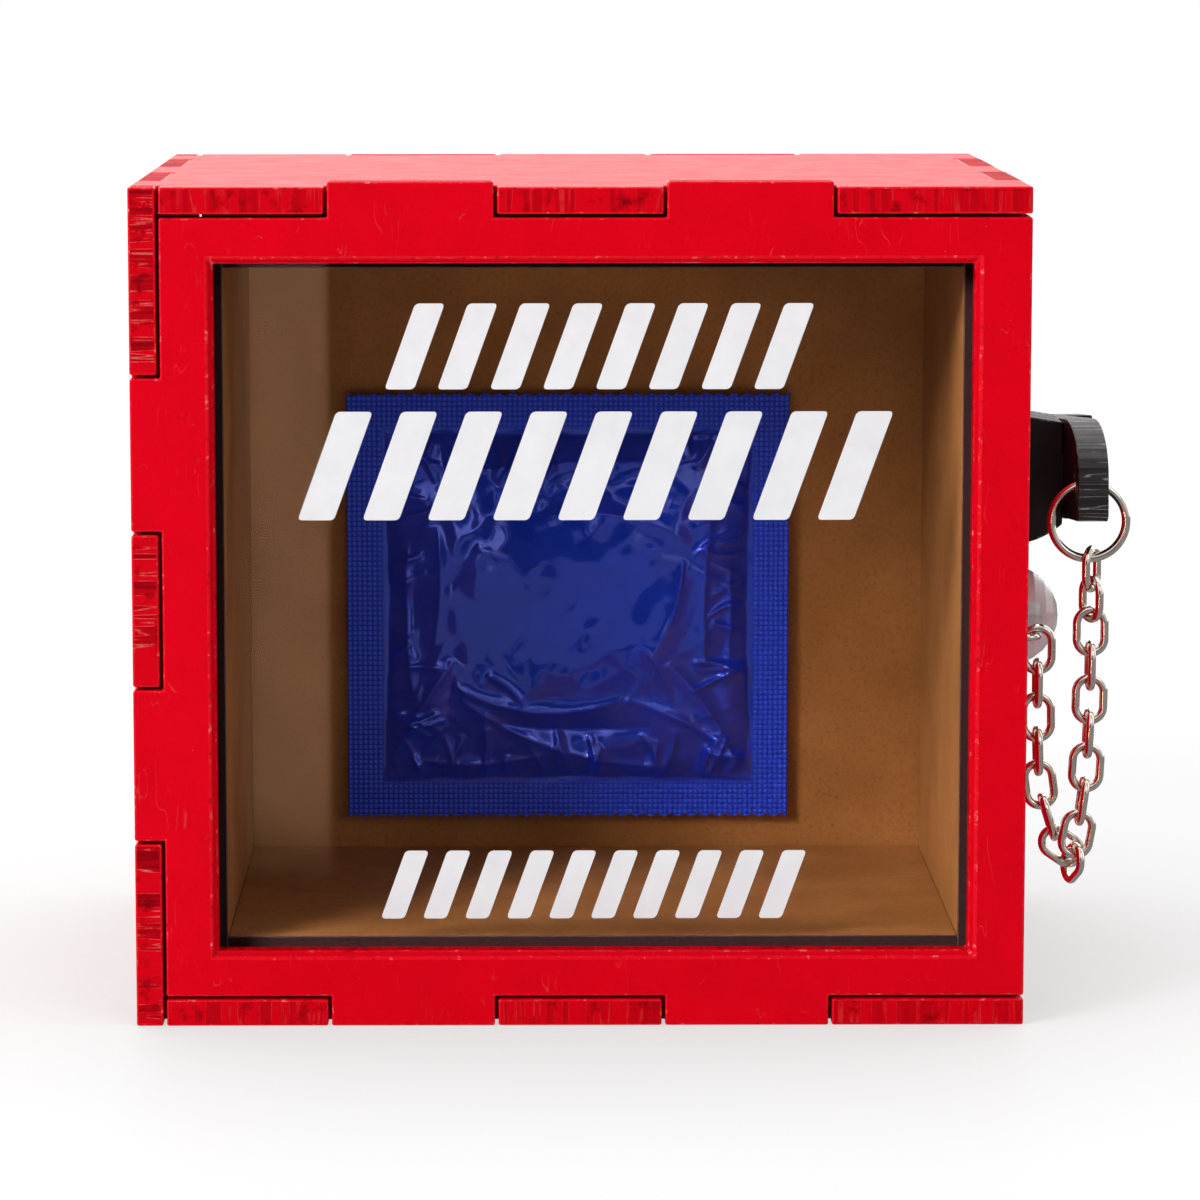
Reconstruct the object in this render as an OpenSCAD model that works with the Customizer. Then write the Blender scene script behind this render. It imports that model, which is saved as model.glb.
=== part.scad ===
// Glass-fronted wall box of finger-jointed board, with a hammer on a chain at its side.
// Millimetres. X runs to the right, Y runs back from the front, Z is up.
// The origin is the middle of the underside of the box.

/* [Box] */
// Width of the box
box_w = 100; // [90:1:130]
// Depth of the box, front to back
box_d = 75; // [70:1:110]
// Height of the box
box_h = 94.5; // [88:0.5:120]
// Thickness of the painted outer boards
wall_t = 3; // [2.5:0.1:4]
// Length of the two fingers along the depth
depth_tab = 18; // [12:1:20]
// Gap left by the cut at each finger
joint_gap = 0.4; // [0.2:0.05:0.6]
// Height that the front's fingers stand above the top board
finger_proud = 0.6; // [0:0.05:0.8]

/* [Window] */
// Width of the frame at each side of the window
frame_side = 6.3; // [5:0.1:9]
// Width of the frame above the window
frame_top = 5.5; // [5:0.1:9]
// Width of the frame below the window
frame_bottom = 5.5; // [4.5:0.1:9]
// Chamfer sanded on the front edge of the window
window_chamfer = 0.7; // [0.3:0.1:1]
// Thickness of the clear pane
pane_t = 2; // [1.5:0.1:3]
// Distance that the pane reaches behind the frame
pane_cover = 2.8; // [2:0.1:3]

/* [Inner tray] */
// Thickness of the inner boards
board_t = 3; // [2.5:0.1:3.2]
// Width of the inner boards' front edges that shows inside the window
board_lip = 0.8; // [0.5:0.1:1.6]
// Clear depth of the tray
tray_depth = 53; // [45:1:54]
// Width of the blocks and rails that carry the tray
block_w = 12; // [8:1:16]

/* [Sachet] */
// Width of the sachet
sachet_w = 54.4; // [45:0.1:60]
// Height of the sachet
sachet_h = 52.9; // [45:0.1:58]
// Width of the crimped seal
seal_w = 4.4; // [3:0.1:6]
// Thickness of the crimped seal
seal_t = 0.5; // [0.4:0.1:0.8]
// Height of the pouch above its seal
pouch_rise = 4.2; // [2:0.1:7]
// Pitch of the zigzag along the top and the bottom
tooth_pitch = 1.7; // [1.4:0.1:3]
// Depth of the zigzag
tooth_depth = 0.45; // [0.2:0.05:1]
// Height of the middle of the sachet above the ground
sachet_z = 39.7; // [38:0.1:46]
// Side of the square sticky pad
pad_w = 24; // [15:1:35]
// Thickness of the sticky pad
pad_t = 1; // [0.6:0.1:2]

/* [Hammer] */
// Thickness of the hammer's boards
hammer_t = 3.5; // [3:0.1:4]
// Distance from the front of the box back to the hammer's grip end
hammer_inset = 13; // [8:0.5:14]
// Length of the hammer
hammer_l = 60; // [56:0.5:62]
// Width of the grip
grip_w = 11.6; // [10:0.1:12]
// Length of the rounding at the top of the grip's end
nose_l = 14; // [8:0.5:15]
// Height of the rounding at the top of the grip's end
nose_h = 6.6; // [4:0.1:7]
// Width of the head
head_w = 12.8; // [12:0.1:14]
// Length of the head
head_l = 17; // [14:0.5:18]
// Slope of the hammer, down towards the back, in degrees
hammer_slope = 5.2; // [4:0.1:7]
// Gap between the side of the box and the hammer
standoff = 6.9; // [6:0.1:8]
// Thickness of each of the three layers of the arm that carries the hammer
arm_layer_t = 3; // [2.5:0.1:3.5]
// Distance from the grip's end back to the arm
arm_inset = 15.1; // [12:0.1:18]
// Radius of the arm's rounded underside
arm_round = 9.6; // [8.5:0.1:11]
// Height of the arm's tongue
tongue_h = 4.6; // [3.5:0.1:5.5]
// Play of the tongue in the hammer
tongue_play = 0.15; // [0.1:0.01:0.25]
// Diameter of the hole for the ring
ring_hole_d = 3.2; // [3:0.1:3.6]

/* [Ring and chain] */
// Outer diameter of the ring
ring_od = 9.6; // [9:0.1:11]
// Thickness of the ring's wire
ring_wire = 1; // [0.8:0.05:1.1]
// Thickness of the chain's wire
chain_wire = 0.95; // [0.85:0.01:1]
// Outer length of a link
link_l = 5.95; // [5.8:0.05:6.2]
// Outer length of the two twist links under the ring
twist_link_l = 5.5; // [5.3:0.05:6]
// Outer width of a link
link_w = 4.15; // [4.1:0.05:4.5]
// Play between two links
link_play = 0.08; // [0.05:0.01:0.1]
// Wire of the screw eye
eye_wire = 0.8; // [0.7:0.05:0.85]
// Diameter of the screw eye to the middle of its wire
eye_d = 2.7; // [2.6:0.05:3]

/* [Knob] */
// Diameter of the clear knob
knob_d = 12; // [9:0.1:13]
// Height of the clear knob
knob_h = 6.7; // [5:0.1:8]
// Diameter of the stud in the knob
stud_d = 2; // [1.6:0.1:3]
// Distance from the front of the box back to the middle of the knob
knob_inset = 30; // [28:0.5:40]
// Height of the middle of the knob above the ground
knob_z = 42.4; // [20:0.1:44]

/* [Hidden] */

red = "#d3051b";
brown = "#8a5a2b";
black = "#161617";
steel = "#b9b2a8";
blue = "#1c2a8c";

fingers = 5;
round_fn = 48;
tiny = 0.01;
front_y = -box_d / 2;
back_y = box_d / 2;
in_w = box_w - 2 * wall_t;
in_h = box_h - 2 * wall_t;
step_x = in_w / fingers;
step_z = (in_h - 1) / fingers;
start_z = (box_h - fingers * step_z) / 2;
end_y = (box_d - 2 * depth_tab) / 3;
half_gap = joint_gap / 2;
side_x = box_w / 2;

win_left = -in_w / 2 + frame_side;
win_right = side_x - frame_side;
win_bottom = wall_t + frame_bottom;
win_top = box_h - wall_t - frame_top;

pane_y = front_y + wall_t;
tray_y = pane_y + pane_t;
tray_left = win_left + board_lip;
tray_right = win_right - board_lip;
tray_bottom = win_bottom + board_lip;
tray_top = win_top - board_lip;
tray_back_y = tray_y + tray_depth;
pad_y = tray_back_y - pad_t;
sachet_x = -0.8;
pad_clear = 0.1;

hammer_x = side_x + standoff;
hammer_mid_x = hammer_x + hammer_t / 2;
grip_end_y = front_y + hammer_inset;
grip_end_z = 61.4;
head_start = hammer_l - head_l;
arm_y = grip_end_y + arm_inset;
arm_w = 3 * arm_layer_t;
arm_z = grip_end_z - (arm_inset + arm_w / 2) * tan(hammer_slope);
ring_hole_s = 4;

link_r = (link_w - chain_wire) / 2;
link_h = (link_l - link_w) / 2;
ring_r = (ring_od - ring_wire) / 2;
eye_z = 41.5;
eye_x = side_x + 0.5 + eye_d / 2;

// A board cut from the outline given as children, standing across X, Y or Z
module board_x(x, t) { translate([x, 0, 0]) rotate([90, 0, 90]) linear_extrude(t) children(); }
module board_y(y, t) { translate([0, y + t, 0]) rotate([90, 0, 0]) linear_extrude(t) children(); }
module board_z(z, t) { translate([0, 0, z]) linear_extrude(t) children(); }

// A rectangle from one corner to the opposite one
module area(a, b) { translate(a) square([b[0] - a[0], b[1] - a[1]]); }

// The second and fourth of five fingers from start, each trimmed by trim at both ends
module fingers_across(start, step, trim, low, high)
    for (i = [1, 3]) area([start + i * step + trim, low], [start + (i + 1) * step - trim, high]);
module fingers_up(start, step, trim, low, high)
    for (i = [1, 3]) area([low, start + i * step + trim], [high, start + (i + 1) * step - trim]);

// The two fingers along the depth, as spans of Y
function depth_spans() = [for (i = [0, 1])
    let (a = front_y + end_y + i * (depth_tab + end_y)) [a, a + depth_tab]];

// Outline of the front or back board: its body reaches from left to right, its fingers to top
module face_outline(left, right, left_tabs, right_tabs, top) {
    area([left, wall_t + joint_gap], [right, box_h - wall_t - joint_gap]);
    fingers_across(-in_w / 2, step_x, half_gap, 0, top);
    if (left_tabs) fingers_up(start_z, step_z, half_gap, -side_x, 0);
    if (right_tabs) fingers_up(start_z, step_z, half_gap, 0, side_x);
}

module window_cut() {
    w = win_right - win_left;
    h = win_top - win_bottom;
    translate([win_left, front_y - 1, win_bottom]) cube([w, wall_t + 2, h]);
    c = window_chamfer;
    hull() {
        translate([win_left - c, front_y - tiny, win_bottom - c]) cube([w + 2 * c, tiny, h + 2 * c]);
        translate([win_left, front_y + c, win_bottom]) cube([w, tiny, h]);
    }
}

module front_frame() color(red) difference() {
    board_y(front_y, wall_t) face_outline(-in_w / 2 + joint_gap, side_x, true, false, box_h + finger_proud);
    window_cut();
}

module back_panel() color(red) board_y(back_y - wall_t, wall_t)
    face_outline(-in_w / 2 + joint_gap, in_w / 2 - joint_gap, true, true, box_h);

// Outline of the top or bottom board, with its notches
module lid_outline() difference() {
    area([-side_x, front_y], [side_x, back_y]);
    fingers_across(-in_w / 2, step_x, -half_gap, front_y - 1, front_y + wall_t);
    fingers_across(-in_w / 2, step_x, -half_gap, back_y - wall_t, back_y + 1);
    for (s = depth_spans(), x = [-side_x - 1, in_w / 2])
        area([x, s[0] - half_gap], [x + wall_t + 1, s[1] + half_gap]);
    for (y = [front_y - 1, back_y - wall_t - joint_gap])
        area([-side_x - 1, y], [-in_w / 2 + joint_gap, y + wall_t + 1 + joint_gap]);
}

module top_panel() color(red) board_z(box_h - wall_t, wall_t) lid_outline();
module bottom_panel() color(red) board_z(0, wall_t) lid_outline();

// The fingers of a side board that pass through the top and bottom boards
module side_tabs() for (s = depth_spans()) area([s[0] + half_gap, 0], [s[1] - half_gap, box_h]);

// The left board holds its corners, cut back where a finger of the front or back passes
module left_outline() difference() {
    union() {
        area([front_y, wall_t], [back_y, box_h - wall_t]);
        for (y = [front_y, back_y - wall_t]) area([y, 0], [y + wall_t, box_h]);
        side_tabs();
    }
    for (y = [front_y - 1, back_y - wall_t]) fingers_up(start_z, step_z, -half_gap, y, y + wall_t + 1);
}

// The right board butts against the back of the front board
module right_outline() difference() {
    union() {
        area([front_y + wall_t, wall_t + joint_gap], [back_y, box_h - wall_t - joint_gap]);
        side_tabs();
    }
    fingers_up(start_z, step_z, -half_gap, back_y - wall_t, back_y + 1);
}

module left_panel() color(red) board_x(-side_x, wall_t) left_outline();

module right_panel() color(red) difference() {
    board_x(in_w / 2, wall_t) right_outline();
    translate([in_w / 2 - 1, arm_y, arm_z - arm_root_h / 2]) cube([wall_t + 2, arm_w, arm_root_h]);
    translate([0, knob_y, knob_z]) rotate([0, 90, 0]) cylinder(h = side_x + 1, d = stud_d, $fn = round_fn);
    translate([side_x - eye_depth, eye_y, eye_z]) rotate([0, 90, 0])
        cylinder(h = eye_depth + 1, d = eye_wire, $fn = round_fn);
}

module glass_pane() color([0.8, 0.88, 0.88, 0.35])
    translate([win_left - pane_cover, pane_y, win_bottom - pane_cover])
        cube([win_right - win_left + 2 * pane_cover, pane_t, win_top - win_bottom + 2 * pane_cover]);

// The tray: two upright boards, with the top, bottom and back boards between and behind them
module tray_side_board(x) color(brown)
    translate([x, tray_y, tray_bottom - board_t])
        cube([board_t, tray_depth, tray_top - tray_bottom + 2 * board_t]);
module tray_left_board() tray_side_board(tray_left - board_t);
module tray_right_board() tray_side_board(tray_right);
module tray_flat_board(z) color(brown)
    translate([tray_left, tray_y, z]) cube([tray_right - tray_left, tray_depth, board_t]);
module tray_top_board() tray_flat_board(tray_top);
module tray_bottom_board() tray_flat_board(tray_bottom - board_t);
module tray_back_board() color(brown)
    translate([tray_left - board_t, tray_back_y, tray_bottom - board_t])
        cube([tray_right - tray_left + 2 * board_t, board_t, tray_top - tray_bottom + 2 * board_t]);

// Two rails under the tray and four blocks behind it hold it in the box
module tray_rails() color(brown)
    for (x = [tray_left, tray_right - block_w])
        translate([x, tray_y, wall_t]) cube([block_w, tray_depth, tray_bottom - board_t - wall_t]);
module tray_rear_blocks() color(brown)
    for (x = [tray_left, tray_right - block_w], z = [tray_bottom, tray_top - block_w])
        translate([x, tray_back_y + board_t, z])
            cube([block_w, back_y - wall_t - tray_back_y - board_t, block_w]);

module sticky_pad() color("white")
    translate([sachet_x - pad_w / 2, pad_y, sachet_z - pad_w / 2]) cube([pad_w, pad_t, pad_w]);

// Zigzag top and bottom edges of the sachet's seal, walked as points
tooth_n = 2 * round(sachet_w / (2 * tooth_pitch)) * 2;
function zigzag(z, out) = [for (i = [0:tooth_n])
    [-sachet_w / 2 + i * sachet_w / tooth_n, z + (i % 2 == 0 ? 0 : out * tooth_depth)]];
function backwards(v) = [for (i = [len(v) - 1:-1:0]) v[i]];
module seal_outline()
    polygon(concat(zigzag(-sachet_h / 2, 1), backwards(zigzag(sachet_h / 2, -1))));

// The pouch: u and v run from -1 to 1; its sides draw in between the corners, its crown
// is flat-topped, and shallow folds run in from the corners
pouch_n = 20;
draw_in = 0.9;
pouch_a = sachet_w / 2 - seal_w;
pouch_b = sachet_h / 2 - seal_w;
function crown(u, v) = pow(max(0, 1 - pow(abs(u), 3)), 0.8) * pow(max(0, 1 - pow(abs(v), 3)), 0.8);
function fold(u, v) = 0.16 * cos(300 * (u + v)) * pow(abs(u * v), 0.6)
    + 0.10 * cos(420 * v + 60 * u) * (1 - pow(abs(v), 2));
function pouch_rise_at(u, v) = pouch_rise * crown(u, v) * (1 + fold(u, v));
function pouch_x(u, v) = u * (pouch_a - draw_in * (1 - v * v));
function pouch_z(u, v) = v * (pouch_b - draw_in * (1 - u * u));
function pouch_at(i) = -1 + 2 * i / pouch_n;
function pouch_row(lift) = [for (j = [0:pouch_n], i = [0:pouch_n])
    let (u = pouch_at(i), v = pouch_at(j))
    [pouch_x(u, v), -lift * pouch_rise_at(u, v), pouch_z(u, v)]];
module pouch() {
    m = pouch_n + 1;
    base = seal_t / 2;
    front = pouch_row(1);
    rear = [for (p = pouch_row(0)) [p[0], base, p[2]]];
    rim = concat([for (i = [0:pouch_n - 1]) i], [for (j = [0:pouch_n - 1]) j * m + pouch_n],
        [for (i = [pouch_n:-1:1]) pouch_n * m + i], [for (j = [pouch_n:-1:1]) j * m]);
    n = len(rim);
    polyhedron(points = concat(front, rear), faces = concat(
        [for (j = [0:pouch_n - 1], i = [0:pouch_n - 1]) [j * m + i, (j + 1) * m + i, j * m + i + 1]],
        [for (j = [0:pouch_n - 1], i = [0:pouch_n - 1])
            [(j + 1) * m + i, (j + 1) * m + i + 1, j * m + i + 1]],
        [for (k = [0:n - 1]) [rim[k], rim[(k + 1) % n], m * m + rim[k]]],
        [for (k = [0:n - 1]) [rim[(k + 1) % n], m * m + rim[(k + 1) % n], m * m + rim[k]]],
        [[for (k = [0:n - 1]) m * m + rim[k]]]));
}
module foil_sachet() color(blue) translate([sachet_x, pad_y - pad_clear - seal_t, sachet_z]) {
    board_y(0, seal_t) seal_outline();
    pouch();
}

// Points of an arc around c, from angle a to angle b
function arc(c, r, a, b, n = 8) = [for (i = [0:n]) let (t = a + (b - a) * i / n)
    [c[0] + r * cos(t), c[1] + r * sin(t)]];

// The arm is three boards across Y, glued face to face. Each has a root in the side board, a
// body with a rounded underside and a tongue that the hammer slides onto
arm_root_h = 8;
arm_top = 6.9;
arm_top_fall = 1.15;
arm_centre = [0.5, 0.9];
arm_last = acos((standoff - arm_centre[0]) / arm_round);
module arm_outline() {
    area([-wall_t, -arm_root_h / 2], [tiny, arm_root_h / 2]);
    area([standoff - tiny, -tongue_h / 2], [standoff + hammer_t, tongue_h / 2]);
    polygon(concat([[standoff, arm_top - arm_top_fall], [0, arm_top], [0, arm_centre[1] - arm_round]],
        arc(arm_centre, arm_round, -90, -arm_last)));
}
module arm_layer(i) color(black) translate([side_x, 0, arm_z])
    board_y(arm_y + i * arm_layer_t, arm_layer_t) arm_outline();
module arm_front_layer() arm_layer(0);
module arm_middle_layer() arm_layer(1);
module arm_rear_layer() arm_layer(2);

// Side outline of the hammer, from the grip's end at 0 to the head at hammer_l: its top is
// straight, and its underside has a hollow between the grip and the head
top_t = grip_w / 2;
head_low = head_w - top_t;
foot_corner = 1.2;
head_corner = 2.5;
hollow = 2;
hollow_start = arm_inset + arm_w + 4;
neck = 4;
module hammer_outline() polygon(concat(
    [for (a = [180:-10:90]) [nose_l * (1 + cos(a)), top_t - nose_h * (1 - sin(a))]],
    arc([hammer_l - head_corner, top_t - head_corner], head_corner, 90, 0, 5),
    arc([hammer_l - head_corner, head_corner - head_low], head_corner, 0, -90, 5),
    arc([head_start + head_corner, head_corner - head_low], head_corner, 270, 225, 3),
    [[head_start - neck / 2, hollow - top_t], [hollow_start + neck, hollow - top_t], [hollow_start, -top_t]],
    arc([foot_corner, foot_corner - top_t], foot_corner, 270, 180, 4)));
module cheek_outline() intersection() {
    hammer_outline();
    area([head_start + 2, -head_w], [hammer_l + 1, head_w]);
}
// A board of the hammer, in its sloping place
module hammer_board(x) translate([x, grip_end_y, grip_end_z]) rotate([-hammer_slope, 0, 0])
    board_x(0, hammer_t) children();

module hammer_body() color(black) difference() {
    hammer_board(hammer_x) hammer_outline();
    translate([hammer_x - 1, arm_y - tongue_play, arm_z - tongue_h / 2 - tongue_play])
        cube([hammer_t + 2, arm_w + 2 * tongue_play, tongue_h + 2 * tongue_play]);
    translate([hammer_x - 1, ring_y, ring_hole_z]) rotate([0, 90, 0])
        cylinder(h = hammer_t + 2, d = ring_hole_d, $fn = round_fn);
}
module hammer_inner_cheek() color(black) hammer_board(hammer_x - hammer_t) cheek_outline();
module hammer_outer_cheek() color(black) hammer_board(hammer_x + hammer_t) cheek_outline();

// The ring hangs in the hammer's hole: the wire's dip across the board sets its height
ring_y = grip_end_y + ring_hole_s;
ring_hole_low = 0.97;
ring_hole_z = grip_end_z - ring_hole_s * tan(hammer_slope) - ring_hole_low;
ring_dip = ring_r - sqrt(ring_r * ring_r - hammer_t * hammer_t / 4);
ring_top_z = ring_hole_z - ring_hole_d / 2 + ring_wire / 2 + ring_dip + link_play;
ring_z = ring_top_z - ring_r;
ring_slit = 0.3;
module split_ring() color(steel) translate([hammer_mid_x, ring_y, ring_z]) rotate([90, 0, 0])
    difference() {
        rotate_extrude($fn = 96) translate([ring_r, 0]) circle(d = ring_wire, $fn = 24);
        rotate([0, 0, 80]) translate([0, -ring_slit / 2, -ring_wire])
            cube([ring_od, ring_slit, 2 * ring_wire]);
    }

// One link, upright, with its broad side to the front, and h from its middle to its bends
module link(h = link_h) {
    for (s = [0, 1]) rotate([0, s * 180, 0]) {
        translate([0, 0, h]) rotate([90, 0, 0])
            rotate_extrude(angle = 180, $fn = round_fn) translate([link_r, 0])
                circle(d = chain_wire, $fn = 20);
        translate([link_r, 0, -h]) cylinder(h = 2 * h, d = chain_wire, $fn = 20);
    }
}
// A link at p, leaning by lean towards +X as it goes down, turned by turn about its length
module placed_link(p, lean, turn, h = link_h)
    translate(p) rotate([0, -lean, 0]) rotate([0, 0, turn]) link(h);

// Routes in the plane of the ring: a flat link carries the next, edge-on link inside its
// end, at the side that the pull comes from, and the edge-on link does the same
function down(lean) = [sin(lean), 0, -cos(lean)];
reach = 2 * link_r + link_h - chain_wire - link_play;
stride = 4 * link_r + 2 * link_h - 2 * (chain_wire + link_play);
twist_h = (twist_link_l - link_w) / 2;
twist_pitch = 2 * (twist_h + link_r) - chain_wire - link_play;
twist_z = ring_z - ring_r + ring_wire / 2 + chain_wire / 2 + link_play - twist_h - link_r;

// Lean of each link after the twist, flat and edge-on by turns
ring_side_leans = [0, 0, -1, -2, -3, -7.3, -10.1];
eye_side_leans = [0, 0, 1, 2, 8, 17.5, 55.7];
// Middles of the flat links' lower arcs, walked from the first one
function low_arc(leans, start, k) = k == 0 ? start + link_h * down(leans[0])
    : low_arc(leans, start, k - 1) + stride * down(leans[2 * k - 1]) + 2 * link_h * down(leans[2 * k]);
module strand(leans, start) {
    flats = (len(leans) - 1) / 2;
    for (k = [0:flats])
        placed_link(low_arc(leans, start, k) - link_h * down(leans[2 * k]), leans[2 * k], 0);
    for (k = [1:flats])
        placed_link(low_arc(leans, start, k - 1) + reach * down(leans[2 * k - 1]), leans[2 * k - 1], 90);
}
twist = 60;
chain_x = hammer_mid_x + 0.4;
ring_side_start = [chain_x, ring_y, twist_z - 1.5 * twist_pitch - link_h - link_r
    + (chain_wire + link_play) / 2];
eye_y = ring_y + 1.9;
eye_side_start = [eye_x + eye_d / 2, eye_y,
    eye_z - link_r + chain_wire / 2 + eye_wire / 2 + link_play - link_h];

module chain_twist_links() color(steel) for (i = [0, 1])
    placed_link([chain_x, ring_y, twist_z - i * twist_pitch], 0, twist + twist * i, twist_h);
module chain_ring_side_links() color(steel) strand(ring_side_leans, ring_side_start);
module chain_eye_side_links() color(steel) strand(eye_side_leans, eye_side_start);

// The bottom link lies along the depth and hangs on the lowest wires of both strands
ring_side_foot = low_arc(ring_side_leans, ring_side_start, 3) - [0, 0, link_r];
eye_side_foot = low_arc(eye_side_leans, eye_side_start, 3) - [0, 0, link_r];
foot_step = eye_side_foot - ring_side_foot;
foot_yaw = atan2(foot_step[1], foot_step[0]);
foot_tilt = atan2(foot_step[2], norm([foot_step[0], foot_step[1]]));
bottom_drop = 0.42;
module chain_bottom_link() color(steel)
    translate((ring_side_foot + eye_side_foot) / 2) rotate([0, 0, foot_yaw]) rotate([0, -foot_tilt, 0])
        translate([0, 0, -bottom_drop]) rotate([0, 90, 0]) link();

eye_depth = 2.6;
module screw_eye() color(steel) {
    translate([eye_x, eye_y, eye_z])
        rotate_extrude($fn = round_fn) translate([eye_d / 2, 0]) circle(d = eye_wire, $fn = 20);
    translate([side_x - eye_depth, eye_y, eye_z]) rotate([0, 90, 0])
        cylinder(h = eye_depth + 0.6, d = eye_wire, $fn = 20);
}

// A clear dome whose flat base lies on the side board, on a stud glued into both
knob_y = front_y + knob_inset;
stud_reach = 3.5;
module clear_knob() color([0.9, 0.9, 0.92, 0.4]) translate([side_x, knob_y, knob_z]) rotate([0, 90, 0])
    difference() {
        rotate_extrude($fn = round_fn) polygon(concat([[0, 0], [knob_d / 2 - 0.5, 0]],
            [for (a = [0:15:90]) [knob_d / 2 * cos(a), 0.5 + (knob_h - 0.5) * sin(a)]]));
        translate([0, 0, -1]) cylinder(h = stud_reach + 1, d = stud_d, $fn = round_fn);
    }
module knob_stud() color(steel) translate([in_w / 2, knob_y, knob_z]) rotate([0, 90, 0])
    cylinder(h = wall_t + stud_reach, d = stud_d, $fn = round_fn);

front_frame();
back_panel();
top_panel();
bottom_panel();
left_panel();
right_panel();
glass_pane();
tray_left_board();
tray_right_board();
tray_top_board();
tray_bottom_board();
tray_back_board();
tray_rails();
tray_rear_blocks();
sticky_pad();
foil_sachet();
arm_front_layer();
arm_middle_layer();
arm_rear_layer();
hammer_body();
hammer_inner_cheek();
hammer_outer_cheek();
split_ring();
chain_twist_links();
chain_ring_side_links();
chain_bottom_link();
chain_eye_side_links();
screw_eye();
clear_knob();
knob_stud();
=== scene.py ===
import math
import bpy
import numpy as np
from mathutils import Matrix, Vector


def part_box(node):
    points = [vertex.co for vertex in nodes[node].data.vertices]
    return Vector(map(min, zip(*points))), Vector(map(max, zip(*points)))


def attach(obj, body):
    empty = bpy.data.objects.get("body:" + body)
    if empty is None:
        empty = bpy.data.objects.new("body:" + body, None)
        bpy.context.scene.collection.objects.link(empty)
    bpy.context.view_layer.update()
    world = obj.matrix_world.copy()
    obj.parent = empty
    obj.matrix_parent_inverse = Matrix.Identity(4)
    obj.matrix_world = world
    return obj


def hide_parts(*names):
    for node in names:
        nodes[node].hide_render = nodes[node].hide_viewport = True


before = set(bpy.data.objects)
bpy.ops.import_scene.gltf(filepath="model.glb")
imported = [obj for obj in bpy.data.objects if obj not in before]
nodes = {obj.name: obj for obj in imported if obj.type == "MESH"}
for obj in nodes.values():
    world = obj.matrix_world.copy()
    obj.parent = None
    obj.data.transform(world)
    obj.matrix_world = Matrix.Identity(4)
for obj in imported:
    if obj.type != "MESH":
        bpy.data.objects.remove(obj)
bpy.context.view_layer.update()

mm = 0.001


def srgbHex(code):  # hex colour as it looks on screen, turned to linear light
    channels = [int(code[i:i + 2], 16) / 255 for i in (1, 3, 5)]
    linear = [c / 12.92 if c <= 0.04045 else ((c + 0.055) / 1.055) ** 2.4 for c in channels]
    return (*linear, 1.0)


# A node of this kind with its settings. Each input, by name or number, takes a value or another
# node's socket. A Mix node mixes colours 6 and 7 into output 2, and numbers 2 and 3 into output 0.
def addNode(tree, kind, inputs=None, **settings):
    node = tree.nodes.new("ShaderNode" + kind)
    for name, value in settings.items():
        setattr(node, name, value)
    for name, value in (inputs or {}).items():
        if isinstance(value, bpy.types.NodeSocket):
            tree.links.new(value, node.inputs[name])
        else:
            node.inputs[name].default_value = value
    return node


def newMaterial(name):  # an empty material with its output, ready for nodes
    material = bpy.data.materials.new(name)
    material.use_nodes = True
    tree = material.node_tree
    tree.nodes.clear()
    return material, tree, tree.nodes.new("ShaderNodeOutputMaterial")


def meshPiece(name, points, faces, material, smooth=True):  # mesh object from point and face arrays
    mesh = bpy.data.meshes.new(name)
    mesh.from_pydata(np.asarray(points).tolist(), [], faces)
    mesh.materials.append(material)
    mesh.polygons.foreach_set("use_smooth", [smooth] * len(mesh.polygons))
    mesh.update()
    piece = bpy.data.objects.new(name, mesh)
    bpy.context.scene.collection.objects.link(piece)
    return piece


# Camera, where the photograph was taken from
cameraSettings = {
    "place": (-6.8 * mm, -563.9 * mm, 123.7 * mm),  # right, back and up from the middle of the underside
    "pitchDown": 7.41, "turnRight": 0.257, "roll": 0.042,  # degrees
    "focalPixels": 4768, "imageWidth": 1200,
    "sensor": 36,  # mm
    "shift": (0.05, -0.05), "clipStart": 0.05,
}


def makeCamera(settings):
    data = bpy.data.cameras.new("camera")
    data.sensor_width = settings["sensor"]
    data.lens = settings["focalPixels"] / settings["imageWidth"] * settings["sensor"]
    data.shift_x, data.shift_y = settings["shift"]
    data.clip_start = settings["clipStart"]
    camera = bpy.data.objects.new("camera", data)
    camera.location = settings["place"]
    angles = (90 - settings["pitchDown"], settings["roll"], -settings["turnRight"])
    camera.rotation_euler = [math.radians(angle) for angle in angles]
    bpy.context.scene.collection.objects.link(camera)
    bpy.context.scene.camera = camera


makeCamera(cameraSettings)
print("camera is set")


# Painted and raw fibreboard
redPaint = {
    "face": "#E4001A", "faceDeep": "#CE0014",
    "cut": "#D20014", "cutDeep": "#8E000C", "burn": "#3A0206",
    "chipAndHighlight": "#F08A84", "scratch": "#EE6A6E", "wrinkleHighlight": 0.4,  # how pale the painted highlights on the wrinkles get
    "specular": 0.03, "roughness": 0.4,
    "cloudSize": 5.0 * mm, "grainSize": 0.45 * mm, "ribSize": 0.95 * mm, "burnSize": 2.0 * mm,
}
blackPaint = {
    "face": "#111113", "faceDeep": "#0B0B0D",
    "cut": "#2C2C2F", "cutDeep": "#161618", "burn": "#050506",
    "chipAndHighlight": "#A2A2A6", "scratch": "#4A4A50", "wrinkleHighlight": 0.9,
    "specular": 0.35, "roughness": 0.42,
    "cloudSize": 7.0 * mm, "grainSize": 0.5 * mm, "ribSize": 0.8 * mm, "burnSize": 3.0 * mm,
}
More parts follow.
